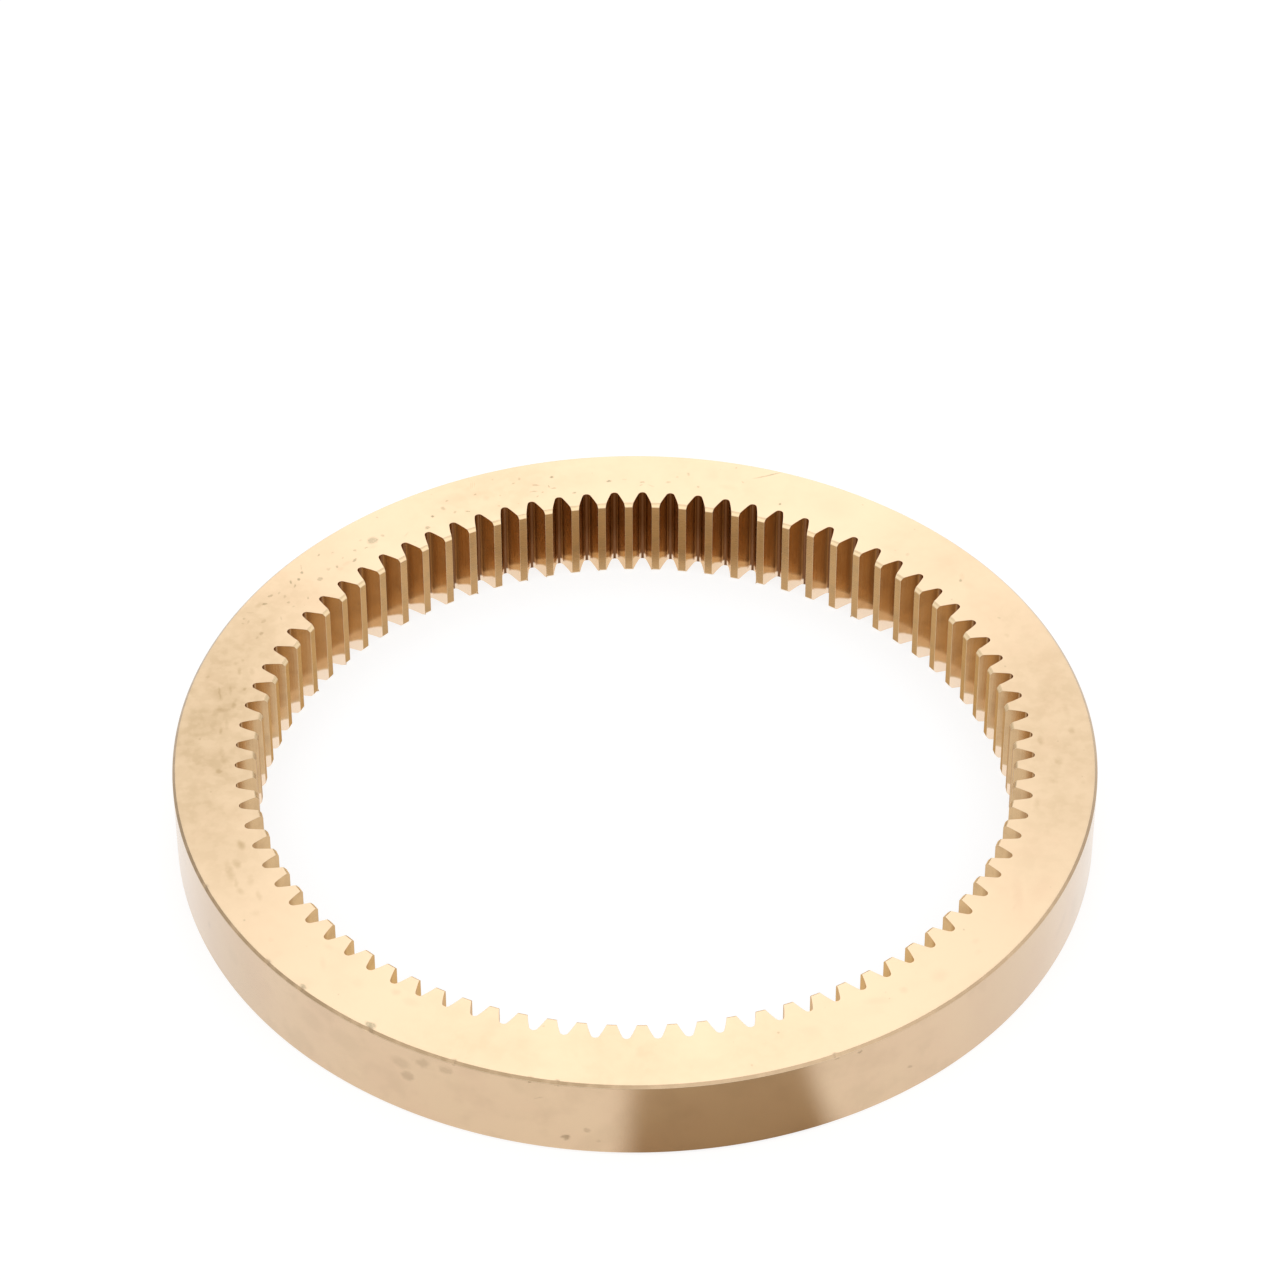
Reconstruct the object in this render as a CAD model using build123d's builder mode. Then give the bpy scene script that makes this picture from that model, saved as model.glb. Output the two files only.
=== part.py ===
"""Internal ring gear: a turned brass ring with 84 involute teeth cut round its bore.

Millimetres and degrees. +Z is the gear's axis, the ring stands on the plane Z = 0, and the origin is
the centre of its bottom face. One tooth space is centred on +X.
"""

import os
from math import acos, cos, pi, radians, sin, sqrt, tan

from build123d import *

os.makedirs("parts", exist_ok=True)

# ---- Driving dimensions ----

# The teeth
teeth = 84                # teeth round the bore
module = 0.52             # pitch diameter for each tooth
pressure_angle = 20.0     # slope of the flanks at the pitch circle
addendum = 0.52           # how far the teeth reach inwards from the pitch circle
dedendum = 0.65           # how far the spaces reach outwards from it
flank_thinning = 0.02     # taken off each tooth's thickness, as play in mesh

# The ring that they are cut in
rim_wall = 3.51           # metal behind the tooth spaces, out to the rim
face_width = 5.2          # height of the ring, which is the length of the teeth
bore_chamfer = 0.2        # 45 degrees, turned in both ends of the bore before the teeth are cut
rim_chamfer = 0.15        # 45 degrees, breaks both outer edges

# The cut
flank_points = 5          # points of the formula that each flank's curve goes through
cutter_overrun = 0.3      # how far the cut runs past the metal at its open sides

# ---- Sizes that follow ----

pitch_radius = teeth * module / 2
base_radius = pitch_radius * cos(radians(pressure_angle))
tip_radius = pitch_radius - addendum
root_radius = pitch_radius + dedendum
outer_radius = root_radius + rim_wall


def involute(angle):
    """The involute function of an angle in radians."""
    return tan(angle) - angle


# A flank of a space leaves the base circle at this polar angle from the middle of the space, and
# closes in on the middle as it goes outwards.
half_space = pi / (2 * teeth) + flank_thinning / (2 * pitch_radius)
flank_start = half_space + involute(radians(pressure_angle))


def flank_point(radius, side):
    """The point at this radius on one flank of the space on +X. side is 1 or -1."""
    angle = side * (flank_start - involute(acos(base_radius / radius)))
    return (radius * cos(angle), radius * sin(angle))


def root_centre():
    """Radius at which the centre of the full round at the bottom of a space lies.

    A circle that touches both flanks and the root circle has its centre on the middle of the space,
    where the flank's parallel curve, an involute set back by the circle's radius, crosses it.
    """
    low, high = base_radius, root_radius
    for _ in range(60):
        centre = (low + high) / 2
        set_back = (root_radius - centre) / base_radius
        if flank_start - set_back > involute(acos(base_radius / centre)):
            high = centre
        else:
            low = centre
    return (low + high) / 2


centre_radius = root_centre()
round_radius = root_radius - centre_radius
# Roll of the involute, in radians, at the point where the flank runs into the round
touch_roll = tan(acos(base_radius / centre_radius)) + round_radius / base_radius
touch_radius = base_radius * sqrt(1 + touch_roll**2)

# The flanks start inside the tip circle, so that the cut clears the bore.
mouth_radius = max(tip_radius - cutter_overrun, base_radius)
flank_radii = [
    mouth_radius + (touch_radius - mouth_radius) * i / (flank_points - 1) for i in range(flank_points)
]

# ---- Ring gear ----

# One tooth space: two involute flanks that run into a full round at the root
with BuildSketch() as tooth_space:
    with BuildLine():
        upper_flank = Spline(*[flank_point(radius, 1) for radius in flank_radii])
        lower_flank = Spline(*[flank_point(radius, -1) for radius in flank_radii])
        ThreePointArc(upper_flank @ 1, (root_radius, 0), lower_flank @ 1)
        Line(lower_flank @ 0, upper_flank @ 0)
    make_face()

with BuildPart() as ring_gear:
    # Turned blank
    with BuildSketch():
        Circle(outer_radius)
        Circle(tip_radius, mode=Mode.SUBTRACT)
    extrude(amount=face_width)
    turned_edges = ring_gear.edges().filter_by(GeomType.CIRCLE).group_by(SortBy.RADIUS)
    chamfer(turned_edges[-1], length=rim_chamfer)
    chamfer(turned_edges[0], length=bore_chamfer)

    # Tooth spaces, cut right through from below
    with BuildSketch(Plane.XY.offset(-cutter_overrun)):
        with PolarLocations(0, teeth):
            add(tooth_space.sketch)
    extrude(amount=face_width + 2 * cutter_overrun, mode=Mode.SUBTRACT)

ring_gear.part.label = "ring_gear"
export_step(ring_gear.part, "parts/ring_gear.step")

print(f"pitch diameter  {2 * pitch_radius:.3f} mm")
print(f"tip diameter    {2 * tip_radius:.3f} mm")
print(f"root diameter   {2 * root_radius:.3f} mm, root round {round_radius:.3f} mm")
print(f"outer diameter  {2 * outer_radius:.3f} mm")
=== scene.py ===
"""Internal ring gear: a turned brass ring with 84 straight teeth cut round its bore.

The ring stands on the plane Z = 0 with its axis on Z, and one tooth space is centred on +X. Lengths
are in metres and angles in radians, as Blender keeps them; MM turns millimetres into metres.
"""

import math

import bmesh
import bpy
from mathutils import Matrix, Vector


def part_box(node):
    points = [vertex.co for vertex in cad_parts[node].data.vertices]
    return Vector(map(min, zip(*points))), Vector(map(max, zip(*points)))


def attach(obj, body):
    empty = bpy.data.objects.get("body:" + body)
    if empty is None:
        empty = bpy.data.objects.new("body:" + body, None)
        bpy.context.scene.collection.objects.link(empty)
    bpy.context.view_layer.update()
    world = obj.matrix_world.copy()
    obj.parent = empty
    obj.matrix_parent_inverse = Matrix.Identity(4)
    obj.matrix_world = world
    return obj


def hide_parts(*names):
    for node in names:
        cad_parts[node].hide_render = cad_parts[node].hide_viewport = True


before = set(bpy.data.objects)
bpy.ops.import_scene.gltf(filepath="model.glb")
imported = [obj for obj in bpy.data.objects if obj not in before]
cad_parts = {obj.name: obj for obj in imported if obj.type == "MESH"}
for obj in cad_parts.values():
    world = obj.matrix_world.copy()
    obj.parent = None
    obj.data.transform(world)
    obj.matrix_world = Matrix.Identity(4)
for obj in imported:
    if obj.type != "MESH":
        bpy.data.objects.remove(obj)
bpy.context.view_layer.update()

bl_info = {
    "name": "Brass Ring Gear",
    "version": (1, 0, 0),
    "blender": (4, 5, 0),
    "location": "View3D > Sidebar > Ring Gear",
    "description": "Builds an internal ring gear in turned brass and the studio that it stands in",
    "category": "Add Mesh",
}

MM = 0.001                       # metres in a millimetre
NODE = "ring_gear"
BODY = "root"

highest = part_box(NODE)[1]        # the highest corner of the ring


# ---- Marks of wear and patches of painted shade, in millimetres and degrees ----

# Each mark: angle from +X, place across (radius on a face, height on the rim), length round the ring,
# width across, turn of its long axis, and strength.

# Spots and specks on the upper face
FACE_SPOTS = (
    (154.9, 25.23, 0.22, 0.15, 0, 0.35),
    (155.2, 24.87, 0.36, 0.15, -25, 0.25),
    (153.5, 25.17, 0.45, 0.08, 60, 0.25),
    (151.1, 24.85, 0.32, 0.18, 45, 0.55),
    (149.4, 24.96, 0.34, 0.20, 20, 0.42),
    (148.2, 24.67, 0.22, 0.12, 0, 0.25),
    (148.5, 24.23, 0.30, 0.12, -15, 0.30),
    (149.1, 23.71, 0.22, 0.20, 0, 0.42),
    (149.5, 23.30, 0.24, 0.12, 0, 0.22),
    (146.8, 23.03, 0.26, 0.13, -35, 0.42),
    (145.9, 24.32, 0.32, 0.12, -35, 0.48),
    (145.6, 24.70, 0.32, 0.14, -50, 0.48),
    (144.5, 24.47, 0.26, 0.18, -20, 0.55),
    (143.1, 24.74, 0.24, 0.18, -30, 0.45),
    (142.4, 25.05, 0.50, 0.09, -50, 0.22),
    (142.6, 23.51, 0.36, 0.32, 0, 0.40),
    (140.3, 23.71, 0.25, 0.28, 0, 0.22),
    (154.2, 24.12, 0.36, 0.20, 0, 0.25),
    (156.6, 23.71, 0.30, 0.22, 0, 0.38),
    (157.6, 23.78, 0.30, 0.15, 0, 0.28),
    (152.5, 23.35, 0.36, 0.12, -40, 0.22),
    (139.1, 25.03, 0.22, 0.10, -25, 0.42),
    (139.1, 23.49, 0.24, 0.18, -50, 0.42),
    (137.4, 24.58, 0.15, 0.14, 0, 0.30),
    (137.2, 23.80, 0.16, 0.14, 0, 0.25),
    (136.3, 23.17, 0.46, 0.20, -15, 0.45),
    (134.9, 23.80, 0.18, 0.18, 0, 0.35),
    (133.3, 23.55, 0.25, 0.15, 0, 0.38),
    (132.9, 24.26, 0.18, 0.20, 0, 0.18),
    (131.7, 23.80, 0.74, 0.62, 0, 0.36),
    (131.2, 23.68, 0.22, 0.16, 0, 0.52),
    (131.9, 23.95, 0.30, 0.12, 20, 0.50),
    (129.9, 23.76, 0.26, 0.28, 0, 0.30),
    (127.0, 23.02, 0.60, 0.08, -25, 0.15),
    (121.7, 23.55, 0.20, 0.24, 0, 0.60),
    (123.6, 22.82, 0.40, 0.26, 0, 0.48),
    (119.6, 23.90, 0.28, 0.38, 0, 0.30),
    (118.4, 24.41, 0.22, 0.14, 0, 0.38),
    (118.4, 23.26, 0.26, 0.16, -40, 0.38),
    (116.7, 23.00, 0.36, 0.08, 20, 0.60),
    (114.3, 24.21, 0.20, 0.16, 0, 0.45),
    (108.4, 24.41, 0.22, 0.12, -20, 0.48),
    (107.4, 24.71, 0.15, 0.22, 0, 0.30),
    (102.9, 24.40, 0.28, 0.17, 0, 0.60),
    (105.6, 23.90, 0.45, 0.18, 15, 0.39),
    (106.1, 23.33, 0.50, 0.10, 0, 0.38),
    (103.1, 23.37, 0.32, 0.10, 10, 0.60),
    (103.7, 23.58, 0.10, 0.22, 0, 0.45),
    (104.9, 23.14, 0.15, 0.12, 0, 0.30),
    (105.8, 22.83, 0.20, 0.10, -30, 0.38),
    (100.3, 22.72, 0.28, 0.18, 0, 0.45),
    (94.95, 23.56, 0.38, 0.21, 0, 0.60),
    (92.7, 23.70, 0.24, 0.14, 0, 0.18),
    (90.0, 23.42, 0.28, 0.17, 0, 0.39),
    (90.2, 23.15, 0.32, 0.07, -15, 0.39),
    (88.7, 23.10, 0.52, 0.07, 20, 0.27),
    (86.3, 23.49, 0.34, 0.22, 0, 0.27),
    (85.1, 24.00, 0.16, 0.14, 0, 0.22),
    (83.6, 24.35, 0.36, 0.18, 60, 0.30),
    (81.8, 23.28, 0.18, 0.18, 0, 0.36),
    (77.4, 25.45, 0.10, 0.14, 0, 0.42),
    (75.8, 24.30, 0.26, 0.10, 45, 0.30),
    (69.2, 23.05, 0.20, 0.19, 0, 0.57),
    (38.4, 23.90, 0.30, 0.20, 45, 0.40),
    (29.0, 23.85, 0.24, 0.20, 0, 0.20),
    (47.5, 23.20, 0.25, 0.28, 0, 0.18),
    (237.9, 25.62, 0.65, 0.36, 0, 0.45),
    (227.4, 25.70, 0.50, 0.26, 0, 0.35),
)

# Broad soft darker patches of painted shade on the upper face, strongest at its left and right sides and
# weaker at the back and front. The one at the front stands on both sides of the seam at 270 degrees, because
# a patch ends where it meets the seam.
FACE_SHADE_PATCHES = (
    (176.0, 24.2, 30.0, 9.0, 0, 0.60),
    (4.0, 24.2, 26.0, 9.0, 0, 0.40),
    (112.0, 24.2, 14.0, 9.0, 0, 0.26),
    (82.0, 24.2, 20.0, 9.0, 0, 0.12),
    (45.0, 24.2, 10.0, 9.0, 0, 0.14),
    (252.0, 24.2, 10.0, 9.0, 0, 0.20),
    (269.9, 24.2, 10.0, 9.0, 0, 0.22),
    (270.1, 24.2, 10.0, 9.0, 0, 0.22),
    (289.0, 24.2, 10.0, 9.0, 0, 0.18),
)

# Small cloudy smudges of a film, in the same darker colour as the painted shade
FACE_SMUDGES = (
    (203.9, 23.75, 0.75, 0.46, 0, 0.42),
    (205.0, 24.30, 1.40, 0.50, 10, 0.28),
    (207.2, 24.30, 0.90, 0.26, 15, 0.28),
    (208.8, 24.35, 0.60, 0.42, 0, 0.22),
    (210.7, 23.60, 0.85, 0.34, 15, 0.28),
    (207.5, 23.50, 0.90, 0.40, 20, 0.20),
    (200.6, 23.05, 0.85, 0.46, 0, 0.40),
    (213.3, 24.40, 0.55, 0.50, 0, 0.15),
    (185.5, 23.40, 0.42, 0.36, 0, 0.30),
    (182.0, 23.20, 1.80, 0.36, -10, 0.18),
    (190.0, 24.15, 0.80, 0.60, 0, 0.12),
    (177.3, 23.47, 0.50, 0.22, 0, 0.32),
    (175.9, 23.20, 0.90, 0.26, -10, 0.22),
    (172.9, 23.55, 0.45, 1.00, 0, 0.24),
    (171.8, 23.10, 0.90, 0.26, 0, 0.26),
    (169.7, 24.15, 1.10, 0.14, -20, 0.30),
    (169.0, 23.60, 0.80, 0.20, -15, 0.18),
    (168.3, 22.85, 0.28, 0.20, 0, 0.36),
    (167.1, 25.20, 0.25, 0.30, 0, 0.26),
    (164.9, 23.60, 0.60, 0.24, -25, 0.34),
    (163.5, 24.05, 0.32, 0.24, 0, 0.20),
    (162.6, 23.77, 0.30, 0.16, -20, 0.24),
    (164.4, 22.90, 0.70, 0.30, -25, 0.34),
    (151.7, 25.08, 0.60, 0.40, 0, 0.30),
    (4.8, 24.75, 0.60, 0.42, 0, 0.36),
    (8.5, 24.70, 1.30, 0.42, 0, 0.18),
    (3.0, 22.90, 0.80, 0.40, 0, 0.30),
    (10.5, 23.60, 1.20, 0.60, 0, 0.12),
    (1.5, 24.00, 1.60, 1.40, 0, 0.18),
    (359.0, 23.85, 0.95, 0.60, 0, 0.26),
    (355.0, 25.20, 0.36, 0.26, 0, 0.20),
    (354.7, 23.50, 0.40, 0.50, 0, 0.22),
    (350.0, 22.80, 1.30, 0.40, 0, 0.20),
    (25.3, 23.53, 0.40, 0.32, 0, 0.22),
    (38.9, 24.20, 0.60, 0.35, 30, 0.15),
    (77.5, 23.60, 1.20, 0.50, 0, 0.12),
)

# Pink brown blotches on the upper face
FACE_BLUSHES = (
    (116.5, 24.35, 3.6, 0.9, 8, 0.60),
    (113.1, 23.67, 0.45, 0.55, 0, 0.85),
    (105.5, 23.80, 2.6, 2.0, 0, 0.40),
    (98.5, 23.90, 2.4, 2.0, 0, 0.35),
    (80.2, 24.60, 0.9, 1.4, 0, 0.50),
    (77.5, 24.60, 1.6, 1.2, 0, 0.30),
    (62.0, 24.20, 3.0, 2.4, 10, 0.45),
    (42.5, 24.50, 2.2, 1.7, 0, 0.45),
    (50.0, 22.90, 2.4, 0.7, 0, 0.35),
    (36.8, 24.00, 1.0, 0.6, 0, 0.40),
    (33.5, 23.30, 2.0, 1.0, 30, 0.25),
    (137.6, 23.30, 0.85, 0.42, 0, 0.85),
    (139.1, 23.25, 0.50, 0.40, 0, 0.80),
    (137.0, 24.90, 1.8, 1.2, -20, 0.25),
    (132.4, 23.35, 0.60, 0.36, 20, 0.60),
    (334.5, 24.90, 2.4, 1.2, 0, 0.50),
    (332.0, 24.00, 3.0, 0.6, -30, 0.60),
    (330.0, 24.20, 0.8, 0.25, -20, 0.50),
    (321.6, 23.90, 0.50, 0.40, 0, 0.50),
    (320.3, 24.50, 0.50, 0.36, 0, 0.35),
    (313.7, 24.20, 1.1, 0.9, 0, 0.60),
    (308.5, 23.75, 0.55, 0.52, 0, 0.80),
    (304.5, 23.60, 1.7, 0.65, 25, 0.60),
    (294.2, 23.80, 1.3, 0.9, 20, 0.50),
    (271.8, 23.50, 0.60, 1.1, 0, 0.45),
    (267.5, 23.60, 1.8, 1.8, 0, 0.25),
    (256.0, 23.60, 2.0, 1.5, 0, 0.45),
    (258.0, 24.20, 1.0, 0.50, 0, 0.30),
    (237.2, 22.90, 0.62, 0.50, 0, 0.90),
    (240.0, 23.10, 1.1, 0.70, 0, 0.60),
    (232.0, 23.60, 1.0, 0.80, 0, 0.40),
    (226.3, 23.80, 1.1, 0.38, 35, 0.50),
    (224.5, 22.75, 0.80, 0.40, 0, 0.50),
    (218.5, 24.80, 0.42, 0.36, 0, 0.50),
)

# Fine scratches on the upper face
FACE_SCRATCHES = (
    (73.4, 25.10, 1.3, 0.10, -35, 0.42),
    (72.2, 25.52, 0.9, 0.09, -38, 0.50),
    (114.1, 25.10, 0.60, 0.05, -70, 0.22),
    (113.9, 25.08, 0.60, 0.05, -70, 0.20),
    (113.6, 25.08, 0.55, 0.05, -70, 0.16),
)

# Spots and smudges on the rim
RIM_STAINS = (
    (212.0, 2.60, 9.0, 12.0, 0, 0.16),
    (324.0, 2.60, 9.0, 12.0, 0, 0.10),
    (263.1, 1.10, 0.52, 0.44, 0, 0.85),
    (265.5, 1.77, 0.44, 0.38, 0, 0.42),
    (266.9, 0.98, 0.40, 0.30, 0, 0.32),
    (259.9, 3.84, 0.60, 0.10, 20, 0.35),
    (243.3, 2.93, 0.85, 0.65, 20, 0.45),
    (245.5, 4.35, 0.95, 0.70, 40, 0.42),
    (248.5, 4.40, 0.80, 0.60, 0, 0.35),
    (242.5, 3.76, 1.30, 0.90, 0, 0.28),
    (234.6, 3.40, 2.6, 1.6, 0, 0.13),
    (229.1, 3.40, 2.0, 1.6, 0, 0.12),
    (206.9, 2.60, 0.45, 0.55, 0, 0.45),
    (213.5, 2.80, 2.0, 1.8, 0, 0.22),
    (298.4, 4.86, 0.38, 0.20, 0, 0.70),
    (295.4, 4.98, 0.34, 0.14, 0, 0.50),
    (305.7, 1.93, 0.34, 0.26, 0, 0.45),
    (249.5, 5.05, 0.32, 0.16, 0, 0.60),
    (258.8, 5.03, 0.34, 0.16, 0, 0.80),
    (262.0, 5.01, 0.34, 0.16, 0, 0.80),
)

# Where a knock has pushed the upper rim edge in: angle in degrees, width and depth in millimetres
RIM_NICKS = (
    (206.0, 0.30, 0.03),
    (221.2, 0.40, 0.04),
    (227.4, 0.30, 0.04),
    (237.9, 0.45, 0.06),
    (249.4, 0.26, 0.04),
    (258.8, 0.22, 0.04),
    (262.0, 0.22, 0.05),
    (295.4, 0.25, 0.04),
)

# Teeth whose lower corner still carries a burr: the number of the tooth, and which side of it
BURRED_CORNERS = (
    (20, 1), (22, 1), (24, 1), (25, -1), (27, -1), (29, 1), (33, 1), (35, -1), (16, 1), (12, 1),
)


# ---- Sizes and colours that a user may change ----


def metres(name, description, default):
    """A length property that shows enough digits for hundredths of a millimetre."""
    return bpy.props.FloatProperty(
        name=name, description=description, default=default, unit="LENGTH", precision=5, min=0.0
    )


def degrees(name, description, default):
    """An angle property, with its default given in degrees."""
    return bpy.props.FloatProperty(
        name=name, description=description, default=math.radians(default), subtype="ANGLE"
    )


def fraction(name, description, default):
    """A plain number from 0 to 1."""
    return bpy.props.FloatProperty(
        name=name, description=description, default=default, subtype="FACTOR", min=0.0, max=1.0
    )


def tint(name, description, default):
    """A colour property, in linear values."""
    return bpy.props.FloatVectorProperty(
        name=name, description=description, default=default, subtype="COLOR", size=3, min=0.0, max=1.0
    )


class GearSizes(bpy.types.PropertyGroup):
    """Sizes of the ring and its teeth."""

    outer_radius: metres("Outer radius", "Radius of the rim", highest.x)
    face_width: metres("Face width", "Height of the ring, which is the length of the teeth", highest.z)
    teeth: bpy.props.IntProperty(name="Teeth", description="Teeth round the bore", default=84, min=12)
    module: metres("Module", "Pitch diameter for each tooth", 0.52 * MM)
    pressure_angle: degrees("Pressure angle", "Slope of the flanks at the pitch circle", 20.0)
    addendum: metres("Addendum", "How far the teeth reach inwards from the pitch circle", 0.52 * MM)
    dedendum: metres("Dedendum", "How far the spaces reach outwards from the pitch circle", 0.65 * MM)
    flank_thinning: metres("Flank thinning", "Taken off each tooth's thickness", 0.02 * MM)
    bore_chamfer: metres("Bore chamfer", "Width and depth of the chamfer at both ends of the bore", 0.2 * MM)
    rim_chamfer: metres("Rim chamfer", "45 degree chamfer on both outer edges", 0.15 * MM)
    burr_height: metres("Burr height", "How far up the teeth the burrs at their lower ends reach", 0.12 * MM)
    edge_round: metres("Edge round", "Width of the tiny round that every cut edge wears to", 0.02 * MM)


class BrassFinish(bpy.types.PropertyGroup):
    """Colours and gloss of the brass, by how each surface was cut, and the colours painted in for shade and
    for reflections.
    """

    face_colour: tint("Face", "Brass of the two faced ends", (0.75, 0.572, 0.385))
    rim_colour: tint("Rim", "Brass of the turned rim", (0.70, 0.505, 0.32))
    land_colour: tint("Lands", "Brass of the bored tooth lands", (0.53, 0.325, 0.15))
    chamfer_colour: tint("Bore chamfer", "Fresh cut brass of the chamfer round the bore", (0.86, 0.66, 0.41))
    # Painted shade in the roots
    root_shade_colour: tint("Roots", "Colour of the dirt that gathers in the roots", (0.19, 0.086, 0.038))
    flank_colour: tint("Flanks", "Brass of the cut flanks and roots", (0.67, 0.465, 0.26))
    stain_colour: tint("Stain", "Grey of the stains and specks on the face", (0.13, 0.17, 0.10))
    # Also the colour that the stains take within the painted shade on the upper face
    stain_in_film_and_shade_colour: tint("Soiled brass", "Brown of the stains where the film lies thick", (0.40, 0.17, 0.04))
    # Painted reflection of the floor at the lower ends of the flanks
    floor_glint_colour: tint("Burnish", "Bright brass at the lower ends of the teeth", (0.96, 0.77, 0.59))
    # Also the colour of the painted shade along the upper rim chamfer and in two lines on the bore chamfer
    tarnish_and_shade_colour: tint("Tarnish", "Brown that stains and dirt turn the brass to", (0.37, 0.255, 0.14))
    # Also the colour of the painted shade on the upper face
    film_and_shade_colour: tint("Haze", "Duller brass where a thin film lies on the face", (0.47, 0.335, 0.19))
    blush_colour: tint("Blush", "Pink brown of the faint blotches", (0.66, 0.44, 0.29))
    face_roughness: fraction("Face roughness", "How far the faced ends scatter a reflection", 0.28)
    rim_roughness: fraction("Rim roughness", "How far the rim scatters a reflection", 0.25)
    land_roughness: fraction("Land roughness", "How far the lands scatter a reflection", 0.28)
    flank_roughness: fraction("Flank roughness", "How far the flanks scatter a reflection", 0.22)


class StudioSizes(bpy.types.PropertyGroup):
    """The camera and the floor."""

    lens: bpy.props.FloatProperty(
        name="Lens", description="Focal length in millimetres on a 36 mm sensor", default=144.73,
        unit="CAMERA",
    )
    camera_distance: metres("Camera distance", "From the point looked at to the camera", 304.44 * MM)
    camera_height: degrees("Camera height", "Angle of the view above the floor", 41.778)
    camera_roll: degrees("Camera roll", "Turn of the camera about its own axis", 0.0634)
    view_turn: degrees("View turn", "Turn of the whole view about the gear's axis", 1.1484)
    look_at: bpy.props.FloatVectorProperty(
        name="Look at", description="Point on the floor that the camera looks at, before the turn",
        default=(0.2917 * MM, 15.089 * MM, 0.0), subtype="TRANSLATION", precision=5,
    )
    floor_size: metres("Floor size", "Side of the floor", 6.0)


# ---- The ring ----

SAME = 0.001 * MM                # two radii that differ by less than this are the same
WELD_DISTANCE = 0.0001 * MM
SHARP_ANGLE = math.radians(25.0)  # an edge that turns by more than this gets the tiny round
NICK_SPREAD = 0.6                # share of a nick's push by which its two edges sink into the metal
BURR_REACH = 0.03 * MM           # how far round the bore from its corner a burr reaches

# How far inwards and down a burr draws the two lowest points of the bore, the upper one first
BURR_PULLS = ((0.02 * MM, 0.03 * MM), (0.09 * MM, 0.07 * MM))

# Slots of the four finishes in the mesh
FACE, RIM, LAND, FLANK = range(4)

# Finish of the strip from each point of the section to the next one. A land has LAND in place of FLANK.
SECTION_FINISHES = (
    FLANK, LAND, LAND,           # lower end of the bore, and its chamfer
    FACE, FACE, FACE,            # lower face
    RIM, RIM, RIM, RIM,          # rim and its two chamfers
    FACE, FACE, FACE, FACE,      # upper face
    LAND, LAND, FLANK,           # upper chamfer of the bore, and the bore
)


def involute(angle):
    """The involute function of an angle in radians."""
    return math.tan(angle) - angle


class Outline:
    """Radii and angles of the tooth form, worked out from the sizes."""

    round_steps = 7       # steps along half of the round at the root
    flank_steps = 6       # steps along a flank, from the round to the bore chamfer
    chamfer_steps = 3     # steps along a flank, within the bore chamfer
    land_steps = 3        # steps along half of the land
    crest_share = 0.65    # share of the bore chamfer's width that its steep part takes
    crest_fall = 0.18     # share of the bore chamfer's depth that its shallow part takes
    halvings = 60         # of the range that the centre of the root round is looked for in

    def __init__(self, sizes):
        self.teeth = sizes.teeth
        self.pitch_radius = sizes.teeth * sizes.module / 2
        self.base_radius = self.pitch_radius * math.cos(sizes.pressure_angle)
        self.tip_radius = self.pitch_radius - sizes.addendum
        self.root_radius = self.pitch_radius + sizes.dedendum
        self.chamfer_radius = self.tip_radius + sizes.bore_chamfer
        self.crest_radius = self.tip_radius + self.crest_share * sizes.bore_chamfer
        self.crest_drop = self.crest_fall * sizes.bore_chamfer
        self.full_drop = sizes.bore_chamfer
        half_space = math.pi / (2 * self.teeth) + sizes.flank_thinning / (2 * self.pitch_radius)
        self.flank_start = half_space + involute(sizes.pressure_angle)
        self.half_land = math.pi / self.teeth - self.flank_angle(self.tip_radius)

    def flank_angle(self, radius):
        """Angle from the middle of the space to its flank at this radius."""
        return self.flank_start - involute(math.acos(self.base_radius / radius))

    def chamfer_drop(self, radius):
        """How far the chamfer, with its shallow and its steep part, lies below the end at this radius."""
        if radius >= self.chamfer_radius:
            return 0.0
        if radius >= self.crest_radius:
            run = (self.chamfer_radius - radius) / (self.chamfer_radius - self.crest_radius)
            return run * self.crest_drop
        run = (self.crest_radius - radius) / (self.crest_radius - self.tip_radius)
        return self.crest_drop + run * (self.full_drop - self.crest_drop)

    def root_centre(self):
        """Radius at which the centre of the full round at the root lies."""
        low, high = self.base_radius, self.root_radius
        for _ in range(self.halvings):
            centre = (low + high) / 2
            set_back = (self.root_radius - centre) / self.base_radius
            if self.flank_start - set_back > involute(math.acos(self.base_radius / centre)):
                high = centre
            else:
                low = centre
        return (low + high) / 2

    def half_pitch(self):
        """(radius, angle) from the middle of a space to the middle of the tooth beside it."""
        centre = self.root_centre()
        round_radius = self.root_radius - centre
        roll = math.tan(math.acos(self.base_radius / centre)) + round_radius / self.base_radius
        touch_radius = self.base_radius * math.sqrt(1 + roll**2)
        touch_angle = self.flank_angle(touch_radius)
        round_end = math.atan2(
            touch_radius * math.sin(touch_angle), touch_radius * math.cos(touch_angle) - centre
        )
        points = []
        for i in range(self.round_steps):
            turn = round_end * i / self.round_steps
            x, y = centre + round_radius * math.cos(turn), round_radius * math.sin(turn)
            points.append((math.hypot(x, y), math.atan2(y, x)))
        for i in range(self.flank_steps):
            radius = touch_radius + (self.chamfer_radius - touch_radius) * i / self.flank_steps
            points.append((radius, self.flank_angle(radius)))
        for i in range(self.chamfer_steps):
            radius = self.chamfer_radius + (self.tip_radius - self.chamfer_radius) * i / self.chamfer_steps
            points.append((radius, self.flank_angle(radius)))
        corner_angle = self.flank_angle(self.tip_radius)
        tooth_middle = math.pi / self.teeth
        for i in range(self.land_steps + 1):
            angle = corner_angle + (tooth_middle - corner_angle) * i / self.land_steps
            points.append((self.tip_radius, angle))
        return points

    def whole_bore(self):
        """(radius, angle) all round the bore, anticlockwise."""
        half = self.half_pitch()
        one_pitch = [(radius, -angle) for radius, angle in reversed(half[1:])] + half[:-1]
        step = 2 * math.pi / self.teeth
        return [(radius, angle + k * step) for k in range(self.teeth) for radius, angle in one_pitch]


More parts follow.
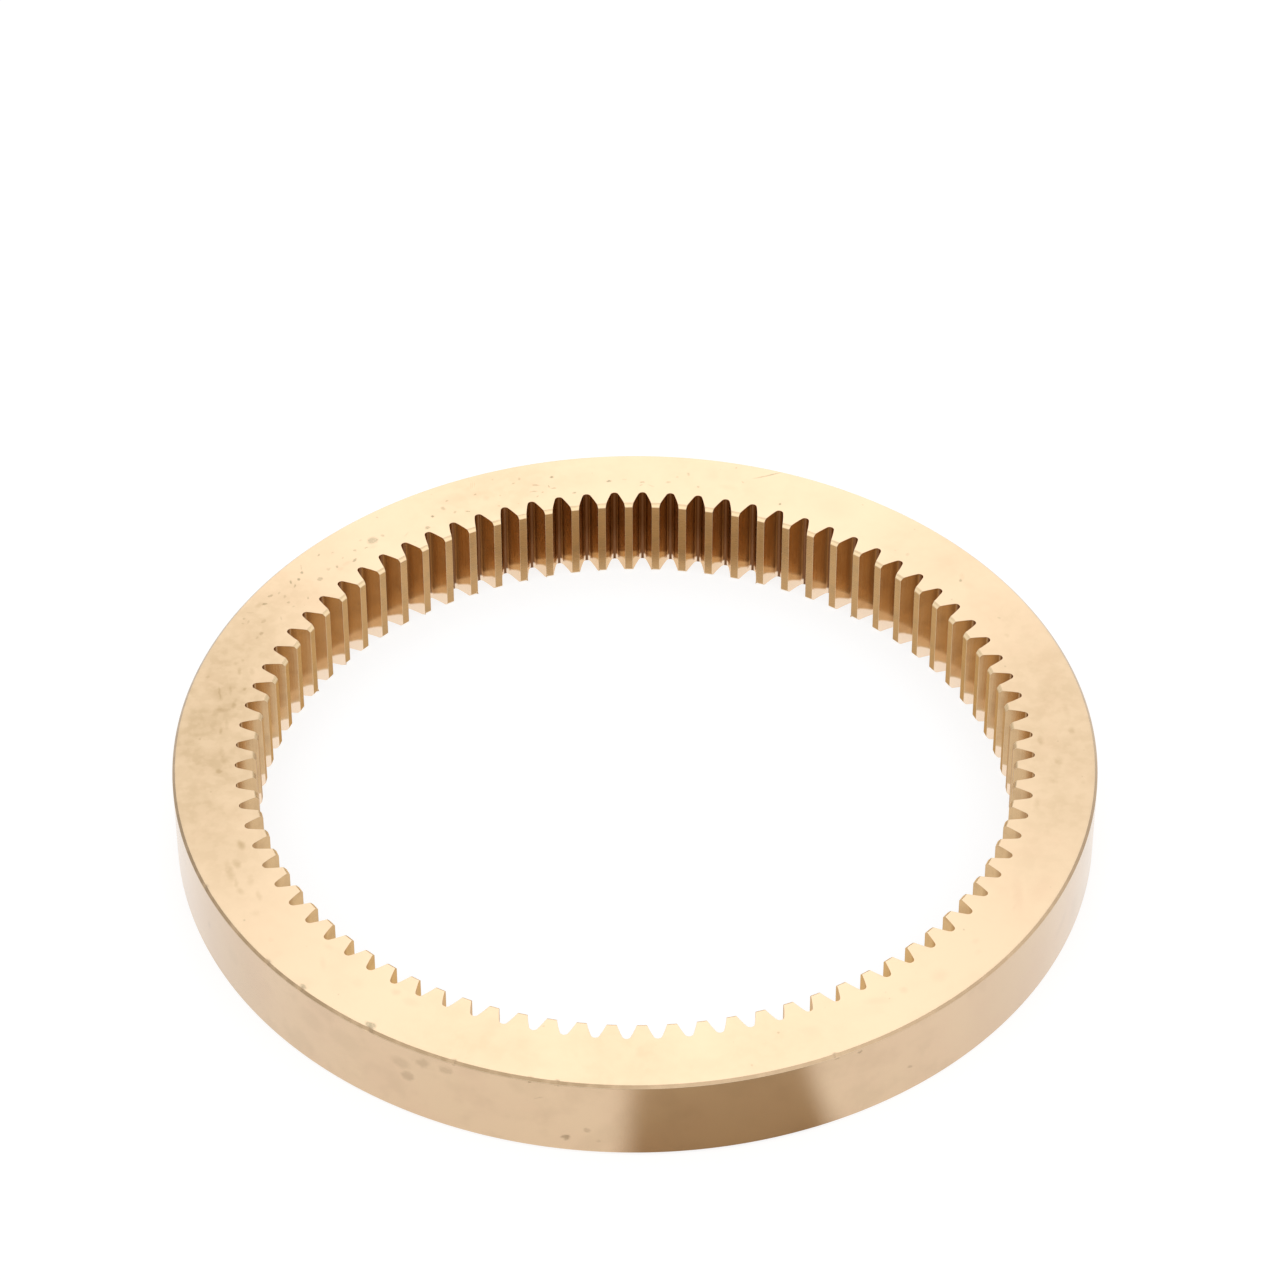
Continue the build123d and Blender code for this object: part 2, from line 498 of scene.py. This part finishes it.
def section(radius, push, outline, sizes):
    """(radius, height) round the ring's section, from the radius of its bore and the push of a nick."""
    top = sizes.face_width
    rim = sizes.outer_radius
    chamfer = sizes.rim_chamfer
    edge = max(radius, outline.chamfer_radius)
    drop = outline.chamfer_drop(radius)
    crest = max(radius, outline.crest_radius)
    crest_drop = outline.chamfer_drop(crest)
    web = outline.root_radius + 0.2 * MM    # clear of the roots, so the face is plain beyond it
    middle = (web + rim) / 2
    shoulder = rim - chamfer
    lip = rim - 2 * chamfer                 # a nick dents the face as far in as this
    foot = top - 2.2 * chamfer              # and the rim as far down as this
    return [
        (radius, drop + sizes.burr_height),
        (radius, drop),
        (crest, crest_drop),
        (edge, 0.0),
        (web, 0.0),
        (middle, 0.0),
        (shoulder, 0.0),
        (rim, chamfer),
        (rim, foot),
        (rim - NICK_SPREAD * push, top - chamfer - push),
        (shoulder - push, top - NICK_SPREAD * push),
        (lip, top),
        (middle, top),
        (web, top),
        (edge, top),
        (crest, top - crest_drop),
        (radius, top - drop),
    ]


def nick_push(angle, sizes):
    """How far a knock has pushed the upper rim edge in at this angle."""
    push = 0.0
    for nick, width, depth in RIM_NICKS:
        off = math.remainder(angle - math.radians(nick), 2 * math.pi) * sizes.outer_radius
        push = max(push, depth * MM * math.exp(-(2 * off / (width * MM)) ** 2))
    return push


def burred(points, angle, radius, outline, sizes):
    """The section with its lower edge drawn out where the corner of a land carries a burr."""
    if abs(radius - outline.tip_radius) > SAME:
        return points
    for tooth, side in BURRED_CORNERS:
        corner = (tooth + 0.5) * 2 * math.pi / sizes.teeth + side * outline.half_land
        off = abs(math.remainder(angle - corner, 2 * math.pi)) * outline.tip_radius
        if off < BURR_REACH:
            for i, (inwards, down) in enumerate(BURR_PULLS):
                points[i] = (radius - inwards, points[i][1] - down)
    return points


def vertex_normal(vertex):
    """Mean of the faces round a vertex by their area, so that only the small rounds shade as curved."""
    return sum((face.normal * face.calc_area() for face in vertex.link_faces), Vector()).normalized()


def ring_mesh(sizes):
    """The whole ring as one closed mesh, with its edges rounded."""
    outline = Outline(sizes)
    bore = outline.whole_bore()
    mesh = bmesh.new()
    columns = []
    for radius, angle in bore:
        cos_angle, sin_angle = math.cos(angle), math.sin(angle)
        points = section(radius, nick_push(angle, sizes), outline, sizes)
        points = burred(points, angle, radius, outline, sizes)
        columns.append([mesh.verts.new((r * cos_angle, r * sin_angle, z)) for r, z in points])
    for i, column in enumerate(columns):
        following = columns[(i + 1) % len(columns)]
        radius, next_radius = bore[i][0], bore[(i + 1) % len(bore)][0]
        on_land = max(radius, next_radius) < outline.tip_radius + SAME
        for row, finish in enumerate(SECTION_FINISHES):
            above = (row + 1) % len(column)
            face = mesh.faces.new((column[row], column[above], following[above], following[row]))
            face.material_index = LAND if finish == FLANK and on_land else finish
    bmesh.ops.remove_doubles(mesh, verts=mesh.verts, dist=WELD_DISTANCE)
    bmesh.ops.recalc_face_normals(mesh, faces=mesh.faces)
    sharp = [edge for edge in mesh.edges if edge.calc_face_angle(0.0) > SHARP_ANGLE]
    bmesh.ops.bevel(
        mesh, geom=sharp, offset=sizes.edge_round, offset_type="OFFSET", segments=2, profile=0.5,
        affect="EDGES", clamp_overlap=True,
    )
    for face in mesh.faces:
        face.smooth = True
    normals = [vertex_normal(vertex) for vertex in mesh.verts]
    data = bpy.data.meshes.new("toothed_ring")
    mesh.to_mesh(data)
    mesh.free()
    data.normals_split_custom_set_from_vertices(normals)
    return data


# ---- Finishes ----

FACE_MEAN_RADIUS = 24.2          # in millimetres, where the arcs of the face marks are measured
RIM_MEAN_RADIUS = 26.0           # in millimetres, where the arcs of the rim marks are measured
FILM_ROUGHNESS = 0.15            # of the thin clear film on the rim
DEEP_EDGE_TINT = (0.85, 0.65, 0.42)   # of reflections at a low angle, in the bore


class Graph:
    """Adds nodes to a material or world, and links them as it goes."""

    def __init__(self, tree):
        self.tree = tree
        tree.nodes.clear()

    def add(self, kind, inputs=(), **settings):
        """A new node. inputs maps names or numbers of sockets to values or to other sockets."""
        node = self.tree.nodes.new(kind)
        for name, value in settings.items():
            setattr(node, name, value)
        for socket, value in dict(inputs).items():
            if isinstance(value, bpy.types.NodeSocket):
                self.tree.links.new(value, node.inputs[socket])
            else:
                node.inputs[socket].default_value = value
        return node

    def math(self, operation, *values):
        return self.add("ShaderNodeMath", enumerate(values), operation=operation).outputs[0]

    def fold(self, operation, values):
        """One value from several, by the same operation on each in turn."""
        result = values[0]
        for value in values[1:]:
            result = self.math(operation, result, value)
        return result

    def total(self, *values):
        return self.fold("ADD", values)

    def product(self, *values):
        return self.fold("MULTIPLY", values)

    def greatest(self, *values):
        return self.fold("MAXIMUM", values)

    def gap(self, value, mark):
        """How far a value is from a mark, either way."""
        return self.math("ABSOLUTE", self.math("SUBTRACT", value, mark))

    def vector(self, operation, *values):
        return self.add("ShaderNodeVectorMath", enumerate(values), operation=operation).outputs["Vector"]

    def scaled(self, vector, factor):
        inputs = {0: vector, "Scale": factor}
        return self.add("ShaderNodeVectorMath", inputs, operation="SCALE").outputs["Vector"]

    def length(self, vector):
        return self.add("ShaderNodeVectorMath", {0: vector}, operation="LENGTH").outputs["Value"]

    def dot(self, first, second):
        inputs = {0: first, 1: second}
        return self.add("ShaderNodeVectorMath", inputs, operation="DOT_PRODUCT").outputs["Value"]

    def join(self, x, y, z):
        return self.add("ShaderNodeCombineXYZ", {0: x, 1: y, 2: z}).outputs[0]

    def noise(self, vector, scale, detail=3.0, output="Fac"):
        """Cloudy noise, as one value or with the output Color as three."""
        inputs = {"Vector": vector, "Scale": scale, "Detail": detail}
        return self.add("ShaderNodeTexNoise", inputs).outputs[output]

    def ramp(self, value, low, high, start=0.0, end=1.0):
        """Eases from start to end as value goes from low to high, and holds the ends."""
        inputs = {"Value": value, "From Min": low, "From Max": high, "To Min": start, "To Max": end}
        return self.add("ShaderNodeMapRange", inputs, interpolation_type="SMOOTHSTEP").outputs["Result"]

    def mix(self, first, second, part):
        """Colour that goes from first to second as part goes from 0 to 1."""
        node = self.add("ShaderNodeMix", {0: part, 6: first, 7: second}, data_type="RGBA")
        return node.outputs[2]


class Place:
    """Where a shaded point is on the ring, in millimetres, as sockets of a graph."""

    def __init__(self, graph):
        self.point = graph.scaled(graph.add("ShaderNodeTexCoord").outputs["Object"], 1 / MM)
        self.x, y, self.height = graph.add("ShaderNodeSeparateXYZ", {0: self.point}).outputs
        level = graph.join(self.x, y, 0.0)
        self.radius = graph.length(level)
        self.outward = graph.vector("NORMALIZE", level)
        # Angle from +Y, so that the seam where it starts over lies at the front, at 270 degrees from +X
        self.angle = graph.math("ARCTAN2", graph.product(self.x, -1.0), y)


def rgba(values):
    return (*values, 1.0)


def grey(level):
    return rgba((level, level, level))


def new_material(name):
    """A material, and the empty graph of its nodes."""
    material = bpy.data.materials.new(name)
    material.use_nodes = True
    return material, Graph(material.node_tree)


def marks(graph, flat, mean_radius, rows, softness):
    """Greatest strength of the marks in these rows. flat is the place unrolled: (round, across, 0)."""
    greatest = 0.0
    # Each mark is taken up at once, because a shader can hold only so many values at a time
    for angle, across, long, wide, turn, strength in rows:
        from_back = math.remainder(math.radians(angle - 90.0), 2 * math.pi)
        lean = math.radians(turn)
        off = graph.vector("SUBTRACT", flat, (from_back * mean_radius, across, 0.0))
        along = graph.dot(off, (math.cos(lean) * 2 / long, math.sin(lean) * 2 / long, 0.0))
        beside = graph.dot(off, (-math.sin(lean) * 2 / wide, math.cos(lean) * 2 / wide, 0.0))
        reach = graph.length(graph.join(along, beside, 0.0))
        here = graph.ramp(reach, 1.0 + softness / 2, 1.0 - softness, 0.0, strength)
        greatest = graph.greatest(greatest, here)
    return greatest


def unrolled(graph, place, mean_radius, across, raggedness):
    """The place laid out flat as (round, across, 0), shaken a little so that marks get ragged edges."""
    flat = graph.join(graph.product(place.angle, mean_radius), across, 0.0)
    shake = graph.noise(place.point, 3.2, 4.0, output="Color")
    middle = graph.vector("SUBTRACT", shake, (0.5, 0.5, 0.5))
    return graph.vector("ADD", flat, graph.vector("MULTIPLY", middle, (raggedness, raggedness, 0.0)))


def specks(graph, place, cell, size, crowding):
    """Small round specks up to this size, one or none in each cell, and more of them as crowding rises."""
    shake = graph.noise(place.point, 1.2 / size, 2.0, output="Color")
    where = graph.vector("ADD", place.point, graph.vector("MULTIPLY", shake, (size, size, size)))
    cells = graph.add("ShaderNodeTexVoronoi", {"Vector": where, "Scale": 1 / cell}, feature="F1")
    parts = graph.add("ShaderNodeSeparateColor", {0: cells.outputs["Color"]}).outputs
    speck_size = graph.ramp(parts[0], 0.0, 1.0, 0.3 * size / cell, size / cell)
    near = graph.math("SUBTRACT", 1.0, graph.math("DIVIDE", cells.outputs["Distance"], speck_size))
    shown = graph.math("LESS_THAN", parts[1], crowding)
    return graph.product(graph.ramp(near, 0.0, 0.5), shown)


def blotches(graph, place, shift, scale, low, high):
    """Large soft blotches, shifted so that they don't follow the other noise."""
    shifted = graph.vector("ADD", place.point, shift)
    return graph.ramp(graph.noise(shifted, scale, 3.0), low, high)


def tool_lines(graph, place, across, waviness, spacing):
    """Fine lines left by a turning tool: even round the ring, and changing fast across."""
    wave = graph.scaled(place.outward, waviness)
    lines = graph.join(0.0, 0.0, graph.math("DIVIDE", across, spacing))
    return graph.noise(graph.vector("ADD", wave, lines), 1.0, 2.0)


def brass(name, graph_parts, anisotropy, edge_tint=(1.0, 1.0, 1.0), film=0.0):
    """A brass material. graph_parts gives its colour, roughness, relief, depth and grain from the place."""
    material, graph = new_material(name)
    parts = graph_parts(graph, Place(graph))
    relief = graph.add("ShaderNodeBump", {
        "Height": parts["relief"], "Distance": parts["depth"], "Strength": 1.0})
    shader = graph.add("ShaderNodeBsdfPrincipled", {
        "Base Color": parts["colour"],
        "Metallic": 1.0,
        "Roughness": parts["roughness"],
        "Specular Tint": rgba(edge_tint),
        "Anisotropic": anisotropy,
        "Coat Weight": film,
        "Coat Roughness": FILM_ROUGHNESS,
        "Tangent": parts["grain"],
        "Normal": relief.outputs[0],
    })
    graph.add("ShaderNodeOutputMaterial", {"Surface": shader.outputs[0]})
    return material


def faced_brass(finish, sizes):
    """The two faced ends: fine facing lines, stains, specks and scratches."""
    half_way = sizes.face_width / MM / 2

    def parts(graph, place):
        flat = unrolled(graph, place, FACE_MEAN_RADIUS, place.radius, raggedness=0.22)
        straight = unrolled(graph, place, FACE_MEAN_RADIUS, place.radius, raggedness=0.03)
        upper = graph.math("GREATER_THAN", place.height, half_way)

        # Painted shade in broad patches and a film in small smudges, both made uneven by two sizes of noise
        cloudy = graph.ramp(graph.noise(place.point, 0.5, 4.0), 0.35, 0.65, 0.8, 1.2)
        mottled = graph.ramp(graph.noise(place.point, 1.6, 4.0), 0.38, 0.62, 0.85, 1.15)
        patches = marks(graph, flat, FACE_MEAN_RADIUS, FACE_SHADE_PATCHES, softness=1.0)
        smudges = marks(graph, flat, FACE_MEAN_RADIUS, FACE_SMUDGES, softness=0.8)
        film_and_shade = graph.product(graph.total(patches, smudges), upper, cloudy, mottled)
        blotch = blotches(graph, place, (31.0, 7.0, 0.0), 0.5, 0.48, 0.70)

        # Dirt in the spots and scratches of the upper face, and in a few specks on both faces
        spots = marks(graph, flat, FACE_MEAN_RADIUS, FACE_SPOTS, softness=0.5)
        blushes = marks(graph, flat, FACE_MEAN_RADIUS, FACE_BLUSHES, softness=0.9)
        scratches = marks(graph, straight, FACE_MEAN_RADIUS, FACE_SCRATCHES, softness=0.6)
        specked = specks(graph, place, cell=0.24, size=0.10, crowding=0.012)
        grain = graph.ramp(graph.noise(place.point, 9.0, 3.0), 0.35, 0.6, 0.6, 1.0)
        dirt = graph.product(graph.greatest(spots, scratches), upper)
        dirt = graph.product(graph.greatest(dirt, graph.product(specked, 0.25)), grain)

        pink = graph.greatest(graph.product(blushes, upper, 0.45), graph.product(blotch, 0.12))
        lines = tool_lines(graph, place, place.radius, waviness=3.0, spacing=0.05)
        colour = graph.mix(rgba(finish.face_colour), rgba(finish.blush_colour), pink)
        # Painted shade and film smudges on the upper face
        colour = graph.mix(colour, rgba(finish.film_and_shade_colour), film_and_shade)
        stain = graph.mix(rgba(finish.stain_colour), rgba(finish.stain_in_film_and_shade_colour), film_and_shade)
        colour = graph.mix(colour, stain, dirt)
        dulled = graph.total(finish.face_roughness, graph.product(dirt, 0.15))
        roughness = graph.total(dulled, graph.ramp(lines, 0.3, 0.7, -0.006, 0.006))
        return {
            "colour": colour, "roughness": roughness, "relief": lines, "depth": 0.0001 * MM,
            "grain": place.outward,
        }

    return brass("faced_brass", parts, anisotropy=0.75)


def rim_brass(finish, sizes):
    """The turned rim with its broken edges: lines round it, smudges, spots and painted shade along the upper
    edge.
    """
    top = sizes.face_width / MM
    chamfer = sizes.rim_chamfer / MM

    def parts(graph, place):
        flat = unrolled(graph, place, RIM_MEAN_RADIUS, place.height, raggedness=0.45)
        stains = marks(graph, flat, RIM_MEAN_RADIUS, RIM_STAINS, softness=0.6)
        smudge = graph.ramp(graph.noise(place.point, 0.55, 4.0), 0.45, 0.72, 0.0, 0.14)
        blotch = blotches(graph, place, (9.0, 4.0, 0.0), 0.3, 0.40, 0.65)

        # Painted shade along the upper chamfer, ragged, and heavier on the left
        below_top = graph.math("SUBTRACT", top, place.height)
        edge = graph.ramp(graph.gap(below_top, chamfer / 2), 0.15, 0.07)
        ragged = graph.ramp(graph.noise(place.point, 1.6, 3.0), 0.25, 0.6, 0.65, 0.95)
        left = graph.ramp(place.x, 3.0, -3.0, 0.6, 1.0)
        # Stains and smudges, with the painted shade of the upper chamfer
        dirt = graph.greatest(stains, smudge, graph.product(edge, ragged, left))

        lines = tool_lines(graph, place, place.height, waviness=4.0, spacing=0.04)
        pink = graph.product(blotch, 0.22)
        colour = graph.mix(rgba(finish.rim_colour), rgba(finish.blush_colour), pink)
        colour = graph.mix(colour, rgba(finish.tarnish_and_shade_colour), dirt)
        roughness = graph.total(finish.rim_roughness, graph.ramp(lines, 0.3, 0.7, -0.02, 0.02))
        return {
            "colour": colour, "roughness": roughness, "relief": lines, "depth": 0.0004 * MM,
            "grain": (0.0, 0.0, 1.0),
        }

    return brass("rim_brass", parts, anisotropy=0.5, film=0.6)


def land_brass(finish, sizes):
    """The bored lands and the chamfer at each end of the bore."""
    tip = Outline(sizes).tip_radius / MM
    chamfer = sizes.bore_chamfer / MM

    def parts(graph, place):
        on_chamfer = graph.ramp(place.radius, tip + 0.005, tip + 0.02)

        # Two lines of painted shade, where the chamfer steepens and where it meets the face
        steepening = graph.gap(place.radius, tip + 0.62 * chamfer)
        outer_end = graph.gap(place.radius, tip + chamfer)
        crease_shade = graph.greatest(
            graph.ramp(steepening, 0.016, 0.004), graph.ramp(outer_end, 0.020, 0.006))
        ragged = graph.ramp(graph.noise(place.point, 2.5, 3.0), 0.3, 0.6, 0.10, 0.45)
        smudge = graph.ramp(graph.noise(place.point, 1.3, 4.0), 0.42, 0.72, 0.0, 0.35)

        lines = tool_lines(graph, place, place.height, waviness=5.0, spacing=0.05)
        bored = graph.mix(rgba(finish.land_colour), rgba(finish.tarnish_and_shade_colour), smudge)
        colour = graph.mix(bored, rgba(finish.chamfer_colour), on_chamfer)
        # Painted shade in the two lines
        colour = graph.mix(colour, rgba(finish.tarnish_and_shade_colour), graph.product(crease_shade, ragged))
        roughness = graph.total(finish.land_roughness, graph.ramp(lines, 0.3, 0.7, -0.02, 0.02))
        roughness = graph.total(roughness, graph.product(on_chamfer, 0.06))
        return {
            "colour": colour, "roughness": roughness, "relief": lines, "depth": 0.0004 * MM,
            "grain": (0.0, 0.0, 1.0),
        }

    return brass("land_brass", parts, anisotropy=0.5, edge_tint=DEEP_EDGE_TINT)


def flank_brass(finish, sizes):
    """The cut flanks and roots, with fine marks along the teeth."""
    outline = Outline(sizes)
    tip = outline.tip_radius / MM
    root = outline.root_radius / MM

    def parts(graph, place):
        stretched = graph.vector("MULTIPLY", place.point, (14.0, 14.0, 0.35))
        strokes = graph.noise(stretched, 1.0, 3.0)
        smudge = graph.ramp(graph.noise(place.point, 0.9, 3.0), 0.4, 0.75, 0.0, 0.18)
        normal = graph.add("ShaderNodeNewGeometry").outputs["Normal"]

        # -1 where the surface looks straight inwards, as the middle of a root does
        facing = graph.dot(normal, place.outward)
        # Painted shade in the roots: darker deeper in each space, and darkest at the middle of each root
        deep = graph.ramp(place.radius, root - 0.60, root - 0.10, 0.0, 0.42)
        root_shade = graph.greatest(graph.ramp(facing, -0.55, -0.90), deep)

        # Painted reflection of the floor: a bright lower end of each flank, which reaches higher towards the
        # tips
        reach = graph.ramp(place.radius, tip, root, 0.86, 0.34)
        limit = graph.total(reach, graph.product(strokes, 0.1))
        above = graph.math("SUBTRACT", place.height, limit)
        low = graph.product(graph.ramp(above, 0.10, -0.08), graph.ramp(facing, -0.99, -0.90))

        # The noise smudges are dirt; the rest is painted shade in the roots
        dirt = graph.greatest(smudge, root_shade)
        colour = graph.mix(rgba(finish.flank_colour), rgba(finish.root_shade_colour), dirt)
        # Painted reflection of the floor at the lower ends of the flanks
        colour = graph.mix(colour, rgba(finish.floor_glint_colour), low)
        roughness = graph.total(finish.flank_roughness, graph.ramp(strokes, 0.3, 0.7, -0.04, 0.04))
        across = graph.vector("NORMALIZE", graph.vector("CROSS_PRODUCT", normal, (0.0, 0.0, 1.0)))
        return {
            "colour": colour, "roughness": roughness, "relief": strokes, "depth": 0.0015 * MM,
            "grain": across,
        }

    return brass("flank_brass", parts, anisotropy=0.8, edge_tint=DEEP_EDGE_TINT)


# ---- The studio ----

# Soft lamps: name, brightness, side and height in degrees, distance, width and length in millimetres
LAMPS = (
    ("back_panel", 1.0, 90, 46, 500, 176, 460),
    ("front_panel", 0.5, 270, 44, 500, 1600, 560),
    ("left_panel", 0.3, 172, 27, 500, 330, 220),
    ("right_panel", 0.42, 8, 27, 500, 330, 240),
)

# Cards that only reflections show, which paint darker reflections into the metal: an oval inside the ring,
# for painted shade in the bore and the spaces at the back, and a band in front of it, for a painted dark
# reflection on the front of the rim, in millimetres
OVAL_CENTRE_Y = 17.2
OVAL_HALF_WIDTH = 9.0
OVAL_HALF_DEPTH = 3.9
OVAL_CORNERS = 24
SHADE_OVAL_COLOUR = (0.72, 0.63, 0.50)
OVAL_SOFTNESS = 0.45
BAND_CORNERS = ((-2.1, -22.0), (-1.4, -34.0), (17.2, -34.0), (10.8, -22.0))
REFLECTION_BAND_COLOUR = (0.52, 0.44, 0.33)
BAND_SOFTNESS = 0.32
CARD_LIFT = 0.02                 # above the floor

FLOOR_GLOW = 0.78                # what the floor shines with where it is seen
SEEN_FLOOR_GREY = 0.28           # its own grey under that glow, on which shadows show
LIT_FLOOR_GREY = 0.8             # its grey where it only passes light on
ROOM_BRIGHTNESS = 0.8
SENSOR_WIDTH = 36.0
NEAREST_SEEN = 10 * MM
FARTHEST_SEEN = 20.0


def add_object(name, data):
    """A new object with this data, in the scene."""
    made = bpy.data.objects.new(name, data)
    bpy.context.collection.objects.link(made)
    return made


def add_panel(name, brightness, side, height, distance, width, length, turn):
    """A soft lamp that faces the ring, placed and sized as a row of LAMPS says, turned with the view."""
    lamp = bpy.data.lights.new(name, "AREA")
    lamp.shape = "RECTANGLE"
    lamp.size = width * MM
    lamp.size_y = length * MM
    lamp.energy = brightness * math.pi * lamp.size * lamp.size_y
    around = Matrix.Rotation(math.radians(side - 90.0), 4, "Z")
    up = Matrix.Rotation(math.radians(height), 4, "X")
    out = Matrix.Translation((0, distance * MM, 0))
    facing = Matrix.Rotation(-math.pi / 2, 4, "X")
    add_object(name, lamp).matrix_world = turn @ around @ up @ out @ facing


def add_reflection_card(name, card_colour, outline, softness, turn):
    """A dull card on the floor that only reflections in the metal show, with soft edges: a painted darker
    reflection in the metal. Places in mm.
    """
    centre = Vector((sum(x for x, y in outline), sum(y for x, y in outline))) / len(outline)
    rims = []
    for share_of_size in (1.0, 1.0 - softness):
        corners = [centre + (Vector(corner) - centre) * share_of_size for corner in outline]
        rims.append([turn @ Vector((x * MM, y * MM, CARD_LIFT * MM)) for x, y in corners])
    count = len(outline)
    faces = [tuple(range(count, 2 * count))]
    faces += [(i, (i + 1) % count, count + (i + 1) % count, count + i) for i in range(count)]
    data = bpy.data.meshes.new(name)
    data.from_pydata(rims[0] + rims[1], [], faces)
    cover = data.attributes.new("cover", "FLOAT", "POINT")
    cover.data.foreach_set("value", [0.0] * count + [1.0] * count)
    card = add_object(name, data)
    material, graph = new_material(name)
    amount = graph.ramp(graph.add("ShaderNodeAttribute", attribute_name="cover").outputs["Fac"], 0.0, 1.0)
    paint = graph.add("ShaderNodeBsdfDiffuse", {"Color": rgba(card_colour)})
    clear = graph.add("ShaderNodeBsdfTransparent")
    soft = graph.add("ShaderNodeMixShader", {0: amount, 1: clear.outputs[0], 2: paint.outputs[0]})
    graph.add("ShaderNodeOutputMaterial", {"Surface": soft.outputs[0]})
    data.materials.append(material)
    card.visible_camera = False
    card.visible_diffuse = False
    card.visible_shadow = False
    card.visible_transmission = False


def add_floor(size):
    """The pale floor, which glows where it is seen, directly or in the metal, and keeps its shadows."""
    half = size / 2
    corners = [(-half, -half, 0), (half, -half, 0), (half, half, 0), (-half, half, 0)]
    data = bpy.data.meshes.new("floor")
    data.from_pydata(corners, [], [(0, 1, 2, 3)])
    floor = add_object("floor", data)
    material, graph = new_material("pale_floor")
    ray = graph.add("ShaderNodeLightPath").outputs
    shown = graph.greatest(ray["Is Camera Ray"], ray["Is Glossy Ray"], ray["Is Transmission Ray"])
    seen = graph.add("ShaderNodeBsdfDiffuse", {"Color": grey(SEEN_FLOOR_GREY)})
    plain = graph.add("ShaderNodeBsdfDiffuse", {"Color": grey(LIT_FLOOR_GREY)})
    glow = graph.add("ShaderNodeEmission", {"Color": grey(1.0), "Strength": FLOOR_GLOW})
    bright = graph.add("ShaderNodeAddShader", {0: seen.outputs[0], 1: glow.outputs[0]})
    chosen = graph.add("ShaderNodeMixShader", {0: shown, 1: plain.outputs[0], 2: bright.outputs[0]})
    graph.add("ShaderNodeOutputMaterial", {"Surface": chosen.outputs[0]})
    data.materials.append(material)


def plain_room():
    """A world that is evenly white all round."""
    world = bpy.data.worlds.new("studio_room")
    world.use_nodes = True
    graph = Graph(world.node_tree)
    background = graph.add("ShaderNodeBackground", {"Color": grey(1.0), "Strength": ROOM_BRIGHTNESS})
    graph.add("ShaderNodeOutputWorld", {"Surface": background.outputs[0]})
    return world


def add_camera(studio, turn):
    """The camera, looking at its point on the floor and turned with the view."""
    data = bpy.data.cameras.new("camera")
    data.lens = studio.lens
    data.sensor_width = SENSOR_WIDTH
    data.clip_start = NEAREST_SEEN
    data.clip_end = FARTHEST_SEEN
    camera = add_object("camera", data)
    tilt = math.pi / 2 - studio.camera_height
    back = Matrix.Translation((0, 0, studio.camera_distance))
    aim = turn @ Matrix.Translation(studio.look_at) @ Matrix.Rotation(tilt, 4, "X")
    camera.matrix_world = aim @ Matrix.Rotation(-studio.camera_roll, 4, "Z") @ back
    return camera


# ---- Operators ----


class GEAR_OT_ring(bpy.types.Operator):
    """Build the toothed ring in its brass"""

    bl_idname = "gear.build_ring"
    bl_label = "Toothed Ring"

    def execute(self, context):
        sizes = context.scene.gear_sizes
        finish = context.scene.gear_finish
        data = ring_mesh(sizes)
        for make in (faced_brass, rim_brass, land_brass, flank_brass):
            data.materials.append(make(finish, sizes))
        ring = add_object("toothed_ring", data)
        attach(ring, BODY)
        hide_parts(NODE)
        return {"FINISHED"}


class GEAR_OT_studio(bpy.types.Operator):
    """Set up the floor, the soft lamps and the camera"""

    bl_idname = "gear.build_studio"
    bl_label = "Studio"

    def execute(self, context):
        scene = context.scene
        studio = scene.gear_studio
        turn = Matrix.Rotation(studio.view_turn, 4, "Z")
        add_floor(studio.floor_size)
        scene.world = plain_room()
        for lamp in LAMPS:
            add_panel(*lamp, turn)
        steps = [i * 2 * math.pi / OVAL_CORNERS for i in range(OVAL_CORNERS)]
        oval = [
            (OVAL_HALF_WIDTH * math.cos(step), OVAL_CENTRE_Y + OVAL_HALF_DEPTH * math.sin(step))
            for step in steps
        ]
        # Painted shade in the back of the bore, and a painted dark reflection on the front of the rim
        add_reflection_card("painted_shade_card", SHADE_OVAL_COLOUR, oval, OVAL_SOFTNESS, turn)
        add_reflection_card("painted_reflection_card", REFLECTION_BAND_COLOUR, BAND_CORNERS, BAND_SOFTNESS, turn)
        scene.camera = add_camera(studio, turn)
        scene.view_settings.view_transform = "Standard"
        # Enough for light that goes to and fro between the flanks
        scene.cycles.max_bounces = 24
        scene.cycles.glossy_bounces = 16
        return {"FINISHED"}


class GEAR_PT_panel(bpy.types.Panel):
    """Lists the gear's pieces and the studio"""

    bl_idname = "GEAR_PT_panel"
    bl_label = "Brass Ring Gear"
    bl_space_type = "VIEW_3D"
    bl_region_type = "UI"
    bl_category = "Ring Gear"

    def draw(self, context):
        for operator in OPERATORS:
            self.layout.operator(operator.bl_idname)
        for group in (context.scene.gear_sizes, context.scene.gear_finish, context.scene.gear_studio):
            box = self.layout.box()
            for name in group.__annotations__:
                box.prop(group, name)


GROUPS = {"gear_sizes": GearSizes, "gear_finish": BrassFinish, "gear_studio": StudioSizes}
OPERATORS = (GEAR_OT_ring, GEAR_OT_studio)
CLASSES = (*GROUPS.values(), *OPERATORS, GEAR_PT_panel)


def register():
    for cls in CLASSES:
        bpy.utils.register_class(cls)
    for name, group in GROUPS.items():
        setattr(bpy.types.Scene, name, bpy.props.PointerProperty(type=group))


def unregister():
    for name in GROUPS:
        delattr(bpy.types.Scene, name)
    for cls in reversed(CLASSES):
        bpy.utils.unregister_class(cls)


def main():
    register()
    bpy.ops.gear.build_ring()
    bpy.ops.gear.build_studio()


if __name__ == "__main__":
    main()
